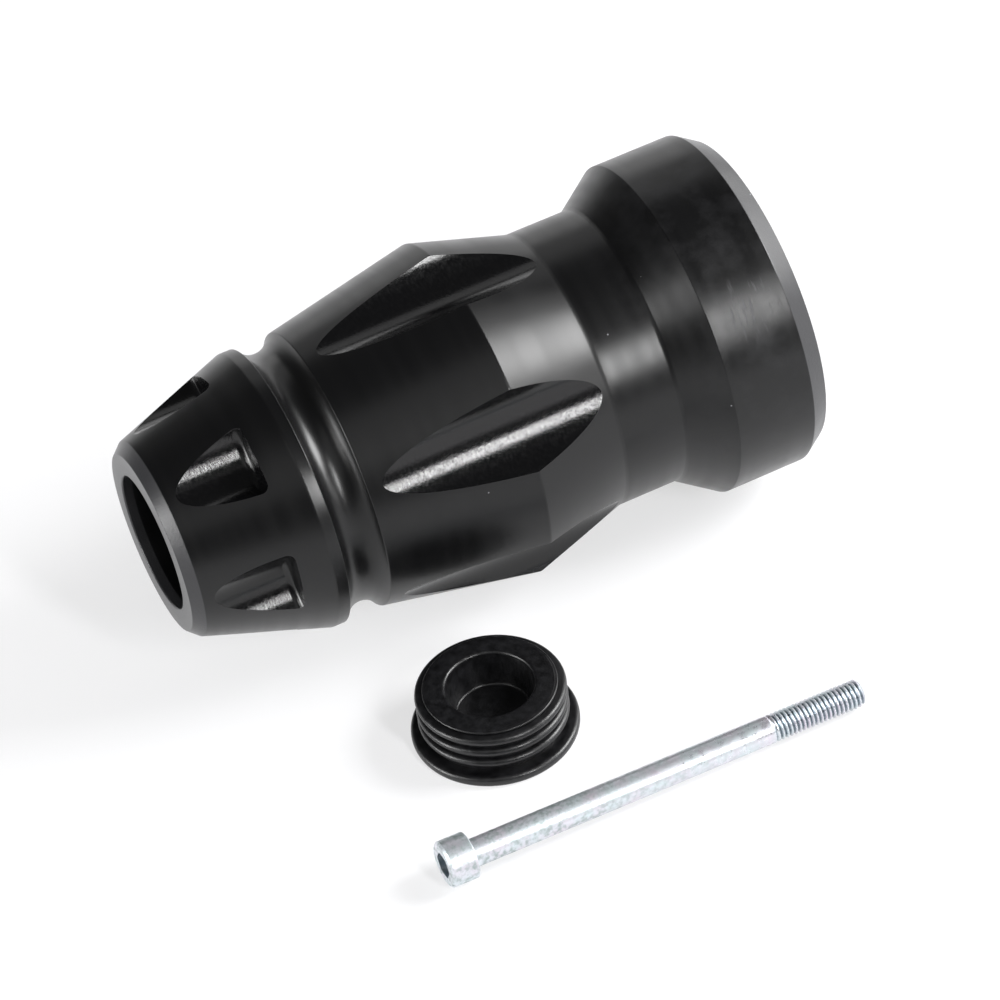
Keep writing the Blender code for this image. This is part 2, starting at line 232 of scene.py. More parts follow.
def makeTurnedAcetal():
    # Acetal bar, turned: a deep black with a satin gloss, and rings round it that break its highlights
    made, tree, shader = newMaterial("turnedBlackAcetal")
    look = turnedAcetal
    coords = addNode(tree, "ShaderNodeTexCoord")
    centred = addNode(tree, "ShaderNodeMapping", {
        "vector_type": "TEXTURE",
        "Location": Vector(slider["place"]) * mm,
        "Rotation": (0, math.radians(slider["tiltDeg"]), 0),
    }, {"Vector": (coords, "Object")})
    split = addNode(tree, "ShaderNodeSeparateXYZ", None, {"Vector": (centred, "Vector")})
    ySquared = addNode(tree, "ShaderNodeMath", {
        "operation": "MULTIPLY",
    }, {0: (split, "Y"), 1: (split, "Y")})
    radiusSquared = addNode(tree, "ShaderNodeMath", {
        "operation": "MULTIPLY_ADD",
    }, {0: (split, "Z"), 1: (split, "Z"), 2: (ySquared, 0)})
    radius = addNode(tree, "ShaderNodeMath", {"operation": "SQRT"}, {0: (radiusSquared, 0)})
    # along + radius grows along every turned face, the flat ones too
    travel = addNode(tree, "ShaderNodeMath", {"operation": "ADD"}, {0: (split, "X"), 1: (radius, 0)})
    rings = addNode(tree, "ShaderNodeTexNoise", {
        "noise_dimensions": "1D", "Scale": 1 / (look["ringSpacing"] * mm), "Detail": 2.0, "Roughness": 0.6,
    }, {"W": (travel, 0)})
    bands = addNode(tree, "ShaderNodeTexNoise", {
        "noise_dimensions": "1D", "Scale": 1 / (look["bandSpacing"] * mm), "Detail": 1.0,
    }, {"W": (travel, 0)})
    ringBump = addNode(tree, "ShaderNodeBump", {
        "Distance": look["ringDepth"] * mm,
    }, {"Height": (rings, "Fac")})

    # the nose's end and the base's chamfer and face carry a rougher grain, and a greyer colour that is partly
    # torn plastic and partly a painted reflection
    middle = (slider["noseLip"][0] + slider["chamferStart"][0]) / 2
    halfSpan = (slider["chamferStart"][0] - slider["noseLip"][0]) / 2
    grain = addNode(tree, "ShaderNodeTexNoise", {
        "Scale": 1 / (look["endGrainSize"] * mm), "Detail": 3.0, "Roughness": 0.6,
    }, {"Vector": (centred, "Vector")})
    offMiddle = addNode(tree, "ShaderNodeMath", {"operation": "SUBTRACT", 1: middle * mm}, {0: (split, "X")})
    fromMiddle = addNode(tree, "ShaderNodeMath", {"operation": "ABSOLUTE"}, {0: (offMiddle, 0)})
    atEnd = addNode(tree, "ShaderNodeMapRange", {
        "From Min": (halfSpan - look["endBlend"]) * mm, "From Max": (halfSpan + look["endBlend"]) * mm,
    }, {"Value": (fromMiddle, 0)})
    bump = addNode(tree, "ShaderNodeBump", {
        "Distance": look["endGrainDepth"] * mm,
    }, {"Height": (grain, "Fac"), "Strength": (atEnd, 0), "Normal": (ringBump, "Normal")})
    tree.links.new(bump.outputs["Normal"], shader.inputs["Normal"])

    # dust in soft patches, from the flare to the base's end
    patches = addNode(tree, "ShaderNodeTexNoise", {
        "Scale": 1 / (look["dustSize"] * mm), "Detail": 5.0, "Roughness": 0.6,
    }, {"Vector": (centred, "Vector")})
    onBase = addNode(tree, "ShaderNodeMapRange", {
        "From Min": look["dustEnds"][0] * mm, "From Max": look["dustEnds"][1] * mm,
        "To Min": 0.0, "To Max": look["dustAmount"],
    }, {"Value": (split, "X")})
    dust = addNode(tree, "ShaderNodeMapRange", {
        "From Min": look["dustRange"][0], "From Max": look["dustRange"][1], "To Min": 0.0,
    }, {"Value": (patches, "Fac"), "To Max": (onBase, 0)})

    # one rubbed place on the base, in strokes that run round the body
    turn = addNode(tree, "ShaderNodeMath", {"operation": "ARCTAN2"}, {0: (split, "Z"), 1: (split, "Y")})
    arc = addNode(tree, "ShaderNodeMath", {
        "operation": "MULTIPLY", 1: slider["baseStart"][1] * look["strokeStretch"] * mm,
    }, {0: (turn, 0)})
    rolled = addNode(tree, "ShaderNodeCombineXYZ", None, {"X": (split, "X"), "Y": (arc, 0)})
    strokes = addNode(tree, "ShaderNodeTexNoise", {
        "noise_dimensions": "2D", "Scale": 1 / (look["strokeWidth"] * mm), "Detail": 3.0, "Roughness": 0.6,
    }, {"Vector": (rolled, 0)})
    away = addNode(tree, "ShaderNodeVectorMath", {
        "operation": "DISTANCE", 1: Vector(look["scuffCentre"]) * mm,
    }, {0: (centred, "Vector")})
    rubbed = addNode(tree, "ShaderNodeMapRange", {
        "interpolation_type": "SMOOTHSTEP", "From Min": 0.0, "From Max": look["scuffReach"] * mm,
        "To Min": look["scuffAmount"], "To Max": 0.0,
    }, {"Value": (away, "Value")})
    strokeMask = addNode(tree, "ShaderNodeMapRange", {
        "From Min": look["strokeRange"][0], "From Max": look["strokeRange"][1], "To Min": 0.0,
    }, {"Value": (strokes, "Fac"), "To Max": (rubbed, 0)})

    # pale specks of swarf and dust, a few over the whole body
    cells = addNode(tree, "ShaderNodeTexVoronoi", {
        "Scale": 1 / (look["speckSpacing"] * mm),
    }, {"Vector": (centred, "Vector")})
    speck = addNode(tree, "ShaderNodeMath", {
        "operation": "LESS_THAN", 1: look["speckRadius"] / look["speckSpacing"],
    }, {0: (cells, "Distance")})

    # painted reflection: the ends are greyed so that they look brighter, partly also the greyer torn cut
    greyer = addNode(tree, "ShaderNodeMix", {"data_type": "RGBA"}, {"Factor": (atEnd, 0)})
    greyer.inputs[6].default_value = linearColour(look["colour"])
    greyer.inputs[7].default_value = linearColour(look["endGreyAndReflection"])
    dusty = addNode(tree, "ShaderNodeMix", {"data_type": "RGBA"}, {"Factor": (dust, 0), 6: (greyer, 2)})
    dusty.inputs[7].default_value = linearColour(look["dustColour"])
    pale = addNode(tree, "ShaderNodeMath", {"operation": "MAXIMUM"}, {0: (strokeMask, 0), 1: (speck, 0)})
    colour = addNode(tree, "ShaderNodeMix", {"data_type": "RGBA"}, {"Factor": (pale, 0), 6: (dusty, 2)})
    colour.inputs[7].default_value = linearColour(look["scuffColour"])
    tree.links.new(colour.outputs[2], shader.inputs["Base Color"])
    # the bands swing the gloss a little, and dust and strokes dull it
    rough = addNode(tree, "ShaderNodeMapRange", {
        "From Min": look["bandRange"][0], "From Max": look["bandRange"][1],
        "To Min": look["roughness"] - look["roughnessSwing"] / 2,
        "To Max": look["roughness"] + look["roughnessSwing"] / 2,
    }, {"Value": (bands, "Fac")})
    dusted = addNode(tree, "ShaderNodeMath", {"operation": "ADD"}, {0: (rough, 0), 1: (dust, 0)})
    duller = addNode(tree, "ShaderNodeMath", {"operation": "ADD"}, {0: (dusted, 0), 1: (strokeMask, 0)})
    tree.links.new(duller.outputs[0], shader.inputs["Roughness"])
    shader.inputs["IOR"].default_value = look["ior"]
    shader.inputs["Specular IOR Level"].default_value = look["specularLevel"]
    return made


milledAcetal = {
    "colour": "#070708",
    "ior": 1.48,
    "roughness": 0.18,
    "roughnessSwing": 0.16,   # from mark to mark
    "specularLevel": 0.48,
    "markSpacing": 0.45,      # mm between the marks that the cutter's teeth leave across its path
    "markStretch": 0.4,       # marks are longer across the path than along it
    "markDepth": 0.030,       # mm
    "markRange": (0.35, 0.65),
    "waveLength": 11.0,       # mm, the slow swing of the cutter along its path
    "waveDepth": 0.06,        # mm
}


def makeMilledAcetal():
    # The same acetal where a milling cutter ran: smoother, with fine marks across the cut
    made, tree, shader = newMaterial("milledBlackAcetal")
    look = milledAcetal
    coords = addNode(tree, "ShaderNodeTexCoord")
    centred = addNode(tree, "ShaderNodeMapping", {
        "vector_type": "TEXTURE",
        "Location": Vector(slider["place"]) * mm,
        "Rotation": (0, math.radians(slider["tiltDeg"]), 0),
    }, {"Vector": (coords, "Object")})
    stretched = addNode(tree, "ShaderNodeMapping", {
        "Scale": (1, look["markStretch"], look["markStretch"]),
    }, {"Vector": (centred, "Vector")})
    marks = addNode(tree, "ShaderNodeTexNoise", {
        "Scale": 1 / (look["markSpacing"] * mm), "Detail": 3.0, "Roughness": 0.65,
    }, {"Vector": (stretched, "Vector")})
    waves = addNode(tree, "ShaderNodeTexNoise", {
        "Scale": 1 / (look["waveLength"] * mm), "Detail": 1.0,
    }, {"Vector": (centred, "Vector")})
    swing = addNode(tree, "ShaderNodeBump", {
        "Distance": look["waveDepth"] * mm,
    }, {"Height": (waves, "Fac")})
    bump = addNode(tree, "ShaderNodeBump", {
        "Distance": look["markDepth"] * mm,
    }, {"Height": (marks, "Fac"), "Normal": (swing, "Normal")})
    tree.links.new(bump.outputs["Normal"], shader.inputs["Normal"])
    shader.inputs["Base Color"].default_value = linearColour(look["colour"])
    rough = addNode(tree, "ShaderNodeMapRange", {
        "From Min": look["markRange"][0], "From Max": look["markRange"][1],
        "To Min": look["roughness"] - look["roughnessSwing"] / 2,
        "To Max": look["roughness"] + look["roughnessSwing"] / 2,
    }, {"Value": (marks, "Fac")})
    tree.links.new(rough.outputs[0], shader.inputs["Roughness"])
    shader.inputs["IOR"].default_value = look["ior"]
    shader.inputs["Specular IOR Level"].default_value = look["specularLevel"]
    return made


def sliderOutline():
    size = slider
    length = size["coneStart"][0] - size["shoulderEdge"][0]
    radius = (length ** 2 / 4 + size["grooveDepth"] ** 2) / (2 * size["grooveDepth"])
    halfDeg = math.degrees(math.asin(length / 2 / radius))
    grooveCentre = (
        size["shoulderEdge"][0] + length / 2, size["coneStart"][1] - size["grooveDepth"] + radius,
    )
    outside = [size["noseFace"], size["noseLip"], size["shoulderStart"]]
    outside += arcPoints(grooveCentre, radius, -90 - halfDeg, -90 + halfDeg, size["grooveSteps"])
    for corner in ("bulge", "waistStart", "flareStart", "baseStart", "chamferStart", "baseEnd"):
        outside.append(size[corner])
    inside = [
        (size["baseEnd"][0], size["boltHole"]),
        (size["seat"], size["boltHole"]),
        (size["seat"], size["toolBore"]),
        (size["mouthDepth"], size["toolBore"]),
        (size["mouthDepth"], size["mouth"]),
        (size["noseFace"][0], size["mouth"]),
    ]
    return outside + inside


def rodCutters(name, firstDeg, distance, radius, start, end, rounding=0.0):
    # parallel rods round the axis, with the edge of their far end rounded
    shape = bmesh.new()
    alongX = Matrix.Rotation(math.radians(90), 4, "Y")
    outwards = Matrix.Translation(Vector(((start + end) / 2, 0, distance)) * mm)
    for index in range(slider["fluteCount"]):
        angle = math.radians(firstDeg + index * 360 / slider["fluteCount"])
        bmesh.ops.create_cone(
            shape, cap_ends=True, segments=slider["cutterSides"], radius1=radius * mm, radius2=radius * mm,
            depth=(end - start) * mm, matrix=Matrix.Rotation(angle, 4, "X") @ outwards @ alongX,
        )
    if rounding > 0:
        farEdges = [
            edge for edge in shape.edges if all(abs(vert.co.x - end * mm) < 0.001 * mm for vert in edge.verts)
        ]
        bmesh.ops.bevel(
            shape, geom=farEdges, offset=rounding * mm, offset_type="OFFSET", affect="EDGES",
            segments=8, profile=0.5, material=-1,
        )
    return keepMesh(name, shape)


def makeSlider(turned, milled):
    size = slider
    shape = spunShape(sliderOutline(), size["spinSteps"], True)
    for corner in ("shoulderStart", "bulge"):
        breakRing(shape, *size[corner], size["softEdge"])
    for corner in ("waistStart", "flareStart"):
        breakRing(shape, *size[corner], size["innerRounding"], segments=5)
    for corner in (
        "noseFace", "noseLip", "shoulderEdge", "coneStart", "baseStart", "chamferStart", "baseEnd",
    ):
        breakRing(shape, *size[corner], size["edgeBreak"])
    breakRing(shape, size["noseFace"][0], size["mouth"], size["boreBreak"])
    breakRing(shape, size["baseEnd"][0], size["boltHole"], size["boreBreak"])
    body = keepMesh("sliderBody", shape)
    body.data.materials.append(turned)

    # flutes first, then the pockets between them, each leaving its own finish
    rise = (size["shoulderStart"][1] - size["noseLip"][1]) / (size["shoulderStart"][0] - size["noseLip"][0])
    noseRadius = size["noseLip"][1] + (size["pocketEnd"] - size["noseLip"][0]) * rise
    flutes = rodCutters(
        "fluteCutters", 0, size["fluteFloor"] + size["fluteRadius"], size["fluteRadius"],
        size["coneStart"][0], size["flareStart"][0],
    )
    pockets = rodCutters(
        "pocketCutters", 180 / size["fluteCount"], noseRadius - size["pocketDepth"] + size["pocketRadius"],
        size["pocketRadius"], size["pocketStart"], size["pocketEnd"], size["pocketRounding"],
    )
    for tool in (flutes, pockets):
        tool.data.materials.append(milled)
        carve(body, tool)

    # the rims between turned and milled faces are broken last
    shape = bmesh.new()
    shape.from_mesh(body.data)
    bmesh.ops.remove_doubles(shape, verts=shape.verts, dist=size["mergeWidth"] * mm)
    rims = []
    for edge in shape.edges:
        if len({face.material_index for face in edge.link_faces}) == 2:
            rims.append(edge)
    bmesh.ops.bevel(
        shape, geom=rims, offset=size["rimBreak"] * mm, offset_type="OFFSET", affect="EDGES", segments=2,
        profile=0.5, material=-1, clamp_overlap=True,
    )
    shape.to_mesh(body.data)
    shape.free()
    matrix = placed(size["place"], size["tiltDeg"])
    finishPiece(body, matrix, "slider_body", size["sharpDeg"])
    tell(f"slider has {len(body.data.polygons)} faces")


plug = {                      # mm, from the flange's foot up
    "place": (-20.464, -25.854, 0.0),
    "tiltDeg": -90.0,         # it stands on its flange
    "flangeRadius": 17.7,
    "flangeThickness": 2.4,
    "flangeRounding": 1.0,
    "coreRadius": 14.6,
    "ribRadius": 15.9,
    "ribCrests": (4.8, 7.85, 10.9),
    "ribWidth": 2.0,
    "ribSteps": 12,
    "ribFullness": 0.8,       # 1 is a half round, less is fuller
    "capStart": 12.0,         # a thin cap closes the top, and the gap under it starts here
    "capGap": (0.15, 0.20),   # and ends so much higher, at its bottom and at its mouth
    "capNeck": 13.4,
    "capRadius": 14.2,
    "capRounding": 0.3,
    "capStepRadius": 13.5,    # the mould's joint shows as a second line inside the cap's rim
    "capStep": 0.08,
    "capStepSlant": 0.06,     # to each side of its radius
    "height": 12.7,
    "recessRadius": 9.3,
    "recessEdge": 0.7,
    "recessDepth": 8.0,
    "recessDraftDeg": 9.0,
    "floorRounding": 0.6,
    "edgeSteps": 8,           # in each quarter round of the flange and of the recess's edge
    "cornerSteps": 6,         # and in the smaller ones
    "spinSteps": 192,
    "sharpDeg": 40,
}


mouldedRubber = {
    "colour": "#070708",
    "ior": 1.52,
    "roughness": 0.29,
    "specularLevel": 0.48,
    "grainSize": 0.45,        # mm, the orange-peel of the mould
    "grainDepth": 0.030,      # mm
    "wearSize": 1.8,          # mm, patches where handling has dulled the skin
    "wearRange": (0.35, 0.7),
    "wearRoughness": 0.12,
    "bloomColour": "#151517",   # the wax that rises to a rubber's skin greys it in the same patches
    "bloomRange": (0.35, 0.65),
}


def makeMouldedRubber():
    # Nitrile rubber from a polished mould: near black, softly shiny, a little uneven
    made, tree, shader = newMaterial("mouldedBlackRubber")
    look = mouldedRubber
    coords = addNode(tree, "ShaderNodeTexCoord")
    grain = addNode(tree, "ShaderNodeTexNoise", {
        "Scale": 1 / (look["grainSize"] * mm), "Detail": 3.0,
    }, {"Vector": (coords, "Object")})
    bump = addNode(tree, "ShaderNodeBump", {
        "Distance": look["grainDepth"] * mm,
    }, {"Height": (grain, "Fac")})
    tree.links.new(bump.outputs["Normal"], shader.inputs["Normal"])
    wear = addNode(tree, "ShaderNodeTexNoise", {
        "Scale": 1 / (look["wearSize"] * mm), "Detail": 5.0, "Roughness": 0.6,
    }, {"Vector": (coords, "Object")})
    rough = addNode(tree, "ShaderNodeMapRange", {
        "From Min": look["wearRange"][0], "From Max": look["wearRange"][1],
        "To Min": look["roughness"], "To Max": look["roughness"] + look["wearRoughness"],
    }, {"Value": (wear, "Fac")})
    tree.links.new(rough.outputs[0], shader.inputs["Roughness"])
    bloomMask = addNode(tree, "ShaderNodeMapRange", {
        "From Min": look["bloomRange"][0], "From Max": look["bloomRange"][1],
    }, {"Value": (wear, "Fac")})
    colour = addNode(tree, "ShaderNodeMix", {"data_type": "RGBA"}, {"Factor": (bloomMask, 0)})
    colour.inputs[6].default_value = linearColour(look["colour"])
    colour.inputs[7].default_value = linearColour(look["bloomColour"])
    tree.links.new(colour.outputs[2], shader.inputs["Base Color"])
    shader.inputs["IOR"].default_value = look["ior"]
    shader.inputs["Specular IOR Level"].default_value = look["specularLevel"]
    return made


def plugOutline():
    size = plug
    rounding = size["flangeRounding"]
    rim = size["flangeRadius"] - rounding
    points = [(0.0, 0.0)]
    points += arcPoints((rounding, rim), rounding, 180, 90, size["edgeSteps"])
    points += arcPoints((size["flangeThickness"] - rounding, rim), rounding, 90, 0, size["edgeSteps"])
    points.append((size["flangeThickness"], size["coreRadius"]))
    rise = size["ribRadius"] - size["coreRadius"]
    half = size["ribWidth"] / 2
    for crest in size["ribCrests"]:
        for step in range(size["ribSteps"] + 1):
            angle = math.radians(180 - 180 / size["ribSteps"] * step)
            bulge = rise * math.sin(angle) ** size["ribFullness"]
            points.append((crest + half * math.cos(angle), size["coreRadius"] + bulge))
    points.pop()              # the last rib falls straight into the gap under the cap
    points.append((size["capStart"], size["capNeck"]))
    points.append((size["capStart"] + size["capGap"][0], size["capNeck"]))
    points.append((size["capStart"] + size["capGap"][1], size["capRadius"]))
    top = size["height"] - size["capStep"]
    rounding = size["capRounding"]
    points += arcPoints(
        (top - rounding, size["capRadius"] - rounding), rounding, 90, 0, size["cornerSteps"],
    )
    points.append((top, size["capStepRadius"] + size["capStepSlant"]))
    points.append((size["height"], size["capStepRadius"] - size["capStepSlant"]))
    edge = size["recessEdge"]
    points += arcPoints(
        (size["height"] - edge, size["recessRadius"] + edge), edge, 0, -90, size["edgeSteps"],
    )
    floor = size["height"] - size["recessDepth"]
    draft = math.tan(math.radians(size["recessDraftDeg"]))
    floorRadius = size["recessRadius"] - size["recessDepth"] * draft
    rounding = size["floorRounding"]
    points += arcPoints(
        (floor + rounding, floorRadius - rounding), rounding, 90, 180, size["cornerSteps"],
    )
    points.append((floor, 0.0))
    return points


def makePlug(rubber):
    size = plug
    piece = keepMesh("endPlug", spunShape(plugOutline(), size["spinSteps"], False))
    piece.data.materials.append(rubber)
    matrix = placed(size["place"], size["tiltDeg"])
    finishPiece(piece, matrix, "end_plug", size["sharpDeg"])
    tell(f"plug has {len(piece.data.polygons)} faces")


bolt = {                      # mm, from the top of its head
    "place": (-48.264, -60.654, 5.133),
    "tiltDeg": 1.2815,        # it lies on its head's rim and its tip
    "turnDeg": 0.9,
    "radius": 3.0,
    "length": 90.0,
    "headRadius": 5.0,
    "headHeight": 6.0,
    "headChamfer": 0.5,
    "headBreak": 0.2,         # on the head's edge towards the shank
    "neckFillet": 0.3,
    "filletSteps": 4,
    "tipChamfer": 0.6,
    "threadLength": 21.5,
    "pitch": 1.0,
    # one pitch of the thread: how far along it, as a part of the pitch, and how deep under the crest
    "threadOutline": (
        (0.0, 0.61), (0.11, 0.59), (0.42, 0.04), (0.50, 0.0),
        (0.58, 0.0), (0.66, 0.04), (0.97, 0.59), (1.0, 0.61),
    ),
    "spareTurns": 1.5,        # before the thread's start and past the tip, where they are cut off
    "fadeTurns": 1.5,         # over which the thread runs out into the shank
    "stepsPerTurn": 60,
    "turnWeld": 0.001,        # joins each turn to the next
    "mergeWidth": 0.004,      # points closer than this are joined where the thread was cut off
    "ringReach": 0.05,        # how far the points of a cut's rim may lie off it after that
    "socketWidth": 5.0,
    "socketDepth": 3.0,
    "socketLead": 1.0,        # the cutter starts in front of the head
    "socketPointDeg": 118.0,  # the drill's point, under the hexagon
    "sharpDeg": 25,
}


zincPlate = {
    "colour": "#d6e0e4",
    "tint": "#e0dae4",        # the thin passivation film turns faintly lilac in places
    "tintRange": (0.35, 0.7),
    "blotchSize": 4.0,        # mm, the size of those places
    "roughness": 0.22,
    "roughnessSwing": 0.12,
    "roughRange": (0.35, 0.65),
    "headRoughness": 0.12,    # added at the head, where the tumbled surface is duller
    "metallic": 0.78,         # the milky film over the zinc scatters the rest
    "drawSize": 0.35,         # mm, the lines that drawing the wire left along the shank
    "drawStretch": 0.12,      # along the shank, where a line is about eight times as long as wide
    "drawDepth": 0.0006,      # mm
    "mottleColour": "#a2aeae",
    "mottleSize": 1.1,        # mm, dimples from tumbling in the plating barrel
    "mottleDepth": 0.016,     # mm
    "mottleRange": (0.35, 0.75),
    "mottleEnds": (20.0, 75.0),   # mm from the head, between which the mottle fades
    "mottleLeft": 0.1,        # the part of it that is left after that
    # painted shade for the bottom of the thread and of the socket
    "paintedGrooveShade": "#86929a",
    "paintedShadeRadius": (2.45, 2.9),  # mm, the bottom of the thread and of the socket, where shade is painted
}


def makeZincPlate():
    # Bright zinc on a drawn steel bolt: silvery with a faint lilac film, fine lines along the
    # shank, and a duller mottle towards the head
    made, tree, shader = newMaterial("brightZincPlate")
    look = zincPlate
    coords = addNode(tree, "ShaderNodeTexCoord")
    centred = addNode(tree, "ShaderNodeMapping", {
        "vector_type": "TEXTURE",
        "Location": Vector(bolt["place"]) * mm,
        "Rotation": (0, math.radians(bolt["tiltDeg"]), math.radians(bolt["turnDeg"])),
    }, {"Vector": (coords, "Object")})
    stretched = addNode(tree, "ShaderNodeMapping", {
        "Scale": (look["drawStretch"], 1, 1),
    }, {"Vector": (centred, "Vector")})
    lines = addNode(tree, "ShaderNodeTexNoise", {
        "Scale": 1 / (look["drawSize"] * mm), "Detail": 4.0, "Roughness": 0.6,
    }, {"Vector": (stretched, "Vector")})
    blotches = addNode(tree, "ShaderNodeTexNoise", {
        "Scale": 1 / (look["blotchSize"] * mm), "Detail": 3.0,
    }, {"Vector": (centred, "Vector")})
    mottle = addNode(tree, "ShaderNodeTexNoise", {
        "Scale": 1 / (look["mottleSize"] * mm), "Detail": 2.0,
    }, {"Vector": (centred, "Vector")})
    tintMask = addNode(tree, "ShaderNodeMapRange", {
        "From Min": look["tintRange"][0], "From Max": look["tintRange"][1],
    }, {"Value": (blotches, "Fac")})
    colour = addNode(tree, "ShaderNodeMix", {"data_type": "RGBA"}, {"Factor": (tintMask, 0)})
    colour.inputs[6].default_value = linearColour(look["colour"])
    colour.inputs[7].default_value = linearColour(look["tint"])
    split = addNode(tree, "ShaderNodeSeparateXYZ", None, {"Vector": (centred, "Vector")})
    mottleFade = addNode(tree, "ShaderNodeMapRange", {
        "From Min": look["mottleEnds"][0] * mm, "From Max": look["mottleEnds"][1] * mm,
        "To Min": 1.0, "To Max": look["mottleLeft"],
    }, {"Value": (split, "X")})
    # towards the head, dull patches lie between the bright ones
    patches = addNode(tree, "ShaderNodeMapRange", {
        "interpolation_type": "SMOOTHSTEP",
        "From Min": look["mottleRange"][0], "From Max": look["mottleRange"][1], "To Min": 0.0,
    }, {"Value": (mottle, "Fac"), "To Max": (mottleFade, 0)})
    mottled = addNode(tree, "ShaderNodeMix", {"data_type": "RGBA"}, {"Factor": (patches, 0), 6: (colour, 2)})
    mottled.inputs[7].default_value = linearColour(look["mottleColour"])
    # painted shade darkens the thread's grooves and the socket
    across = addNode(tree, "ShaderNodeMapping", {"Scale": (0, 1, 1)}, {"Vector": (centred, "Vector")})
    radius = addNode(tree, "ShaderNodeVectorMath", {"operation": "LENGTH"}, {0: (across, "Vector")})
    paintedShadeMask = addNode(tree, "ShaderNodeMapRange", {
        "From Min": look["paintedShadeRadius"][1] * mm, "From Max": look["paintedShadeRadius"][0] * mm,
    }, {"Value": (radius, "Value")})
    grooveShaded = addNode(tree, "ShaderNodeMix", {
        "data_type": "RGBA",
    }, {"Factor": (paintedShadeMask, 0), 6: (mottled, 2)})
    grooveShaded.inputs[7].default_value = linearColour(look["paintedGrooveShade"])
    tree.links.new(grooveShaded.outputs[2], shader.inputs["Base Color"])
    drawn = addNode(tree, "ShaderNodeBump", {
        "Distance": look["drawDepth"] * mm,
    }, {"Height": (lines, "Fac")})
    bump = addNode(tree, "ShaderNodeBump", {
        "Distance": look["mottleDepth"] * mm,
    }, {"Height": (mottle, "Fac"), "Strength": (mottleFade, 0), "Normal": (drawn, "Normal")})
    tree.links.new(bump.outputs["Normal"], shader.inputs["Normal"])
    rough = addNode(tree, "ShaderNodeMapRange", {
        "From Min": look["roughRange"][0], "From Max": look["roughRange"][1],
        "To Min": look["roughness"], "To Max": look["roughness"] + look["roughnessSwing"],
    }, {"Value": (mottle, "Fac")})
    rougher = addNode(tree, "ShaderNodeMath", {
        "operation": "MULTIPLY_ADD", 1: look["headRoughness"],
    }, {0: (mottleFade, 0), 2: (rough, 0)})
    tree.links.new(rougher.outputs[0], shader.inputs["Roughness"])
    shader.inputs["Metallic"].default_value = look["metallic"]
    return made


def threadedRod():
    # the thread from its start to the tip, open at both ends
    size = bolt
    end = size["headHeight"] + size["length"]
    start = end - size["threadLength"]
    pitch = size["pitch"]
    shape = bmesh.new()
    first = start - size["spareTurns"] * pitch
    corners = []
    for part, depth in size["threadOutline"]:
        corners.append(shape.verts.new(((first + part * pitch) * mm, 0, (size["radius"] - depth) * mm)))
    for index in range(len(corners) - 1):
        shape.edges.new((corners[index], corners[index + 1]))
    turns = math.ceil(size["threadLength"] / pitch + 2 * size["spareTurns"])
    bmesh.ops.spin(
        shape, geom=shape.verts[:] + shape.edges[:], cent=(0, 0, 0), axis=(1, 0, 0),
        dvec=(pitch * mm / size["stepsPerTurn"], 0, 0), angle=2 * math.pi * turns,
        steps=size["stepsPerTurn"] * turns,
    )
    bmesh.ops.remove_doubles(shape, verts=shape.verts, dist=size["turnWeld"] * mm)
    for cut, side in ((start, -1), (end, 1)):
        bmesh.ops.bisect_plane(
            shape, geom=shape.verts[:] + shape.edges[:] + shape.faces[:], plane_co=(cut * mm, 0, 0),
            plane_no=(side, 0, 0), clear_outer=True, dist=weldReach,
        )
    bmesh.ops.remove_doubles(shape, verts=shape.verts, dist=size["mergeWidth"] * mm)
    # it runs out into the shank, and a chamfer tops it at the tip
    for vert in shape.verts:
        along = vert.co.x / mm
        far = math.hypot(vert.co.y, vert.co.z) / mm
        fade = min(1.0, max(0.0, (along - start) / (size["fadeTurns"] * pitch)))
        wanted = size["radius"] - (size["radius"] - far) * fade
        wanted = min(wanted, size["radius"] - size["tipChamfer"] + (end - along))
        vert.co.y *= wanted / far
        vert.co.z *= wanted / far
    return shape, start, end


def openRing(shape, along):
    # the open rim that a cut across the bolt left
    def onCut(vert):
        return abs(vert.co.x - along * mm) < bolt["ringReach"] * mm
    return [edge for edge in shape.edges if edge.is_boundary and all(onCut(vert) for vert in edge.verts)]


def growRing(shape, edges, shift, scale):
    # carries an open ring on: along the axis, and out or in by a factor
    made = bmesh.ops.extrude_edge_only(shape, edges=edges)["geom"]
    verts = [item for item in made if isinstance(item, bmesh.types.BMVert)]
    bmesh.ops.scale(shape, verts=verts, vec=(1, scale, scale))
    bmesh.ops.translate(shape, verts=verts, vec=(shift * mm, 0, 0))
    return [item for item in made if isinstance(item, bmesh.types.BMEdge)]


def socketCutter():
    # a hexagon rod into the head, its far face drawn out to the drill's point
    size = bolt
    corner = size["socketWidth"] / 2 / math.cos(math.radians(30))
    point = corner / math.tan(math.radians(size["socketPointDeg"] / 2))
    middle = Matrix.Translation(((size["socketDepth"] - size["socketLead"]) / 2 * mm, 0, 0))
    shape = bmesh.new()
    bmesh.ops.create_cone(
        shape, cap_ends=True, segments=6, radius1=corner * mm, radius2=corner * mm,
        depth=(size["socketDepth"] + size["socketLead"]) * mm,
        matrix=middle @ Matrix.Rotation(math.radians(90), 4, "Y"),
    )
    farFace = [face for face in shape.faces if face.normal.x > 0.9]
    tip = bmesh.ops.poke(shape, faces=farFace)["verts"]
    bmesh.ops.translate(shape, verts=tip, vec=(point * mm, 0, 0))
    return keepMesh("socketCutter", shape)


